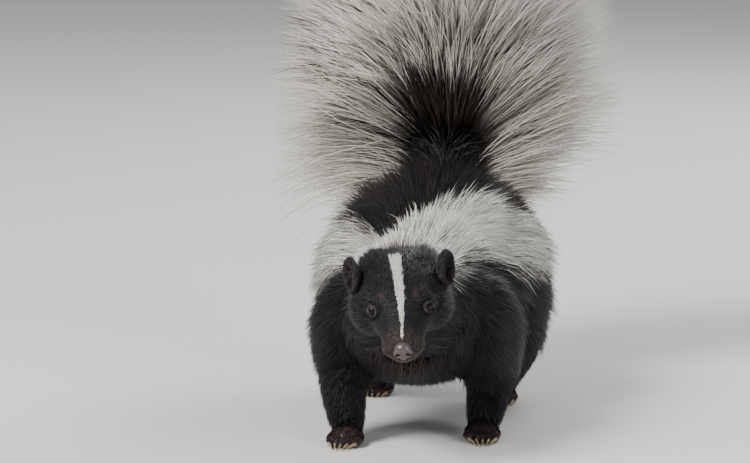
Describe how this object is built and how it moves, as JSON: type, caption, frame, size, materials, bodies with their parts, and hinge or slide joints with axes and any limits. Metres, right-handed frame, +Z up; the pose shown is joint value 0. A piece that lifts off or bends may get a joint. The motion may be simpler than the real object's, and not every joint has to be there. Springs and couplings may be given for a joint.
{
  "type": "striped skunk",
  "caption": "Life-size still model of a striped skunk standing with its head low and its long-haired tail raised and fanned.",
  "frame": {"origin": "on the floor, under the middle of the whole animal's box", "axes": "+Z up, the animal faces -Y, its left side is +X"},
  "size_m": [0.2636, 0.5452, 0.4373],
  "materials": {
    "black_fur": "soft",
    "white_fur": "soft",
    "eye": "wet gloss",
    "nose_skin": "moist",
    "ear_skin": "matte",
    "claw": "satin"
  },
  "bodies": {
    "root": {"head": "black_fur", "jaw": "black_fur", "nose": "nose_skin", "eye_left": "eye", "eye_right": "eye", "ear_left": "ear_skin", "ear_right": "ear_skin", "neck": "white_fur", "trunk": "black_fur", "foreleg_left": "black_fur", "foreleg_right": "black_fur", "hindleg_left": "black_fur", "hindleg_right": "black_fur", "forefoot_left": "black_fur", "forefoot_right": "black_fur", "hindfoot_left": "black_fur", "hindfoot_right": "black_fur", "tail_root": "black_fur", "tail_middle": "white_fur", "tail_tip": "white_fur"}
  },
  "joints": []
}
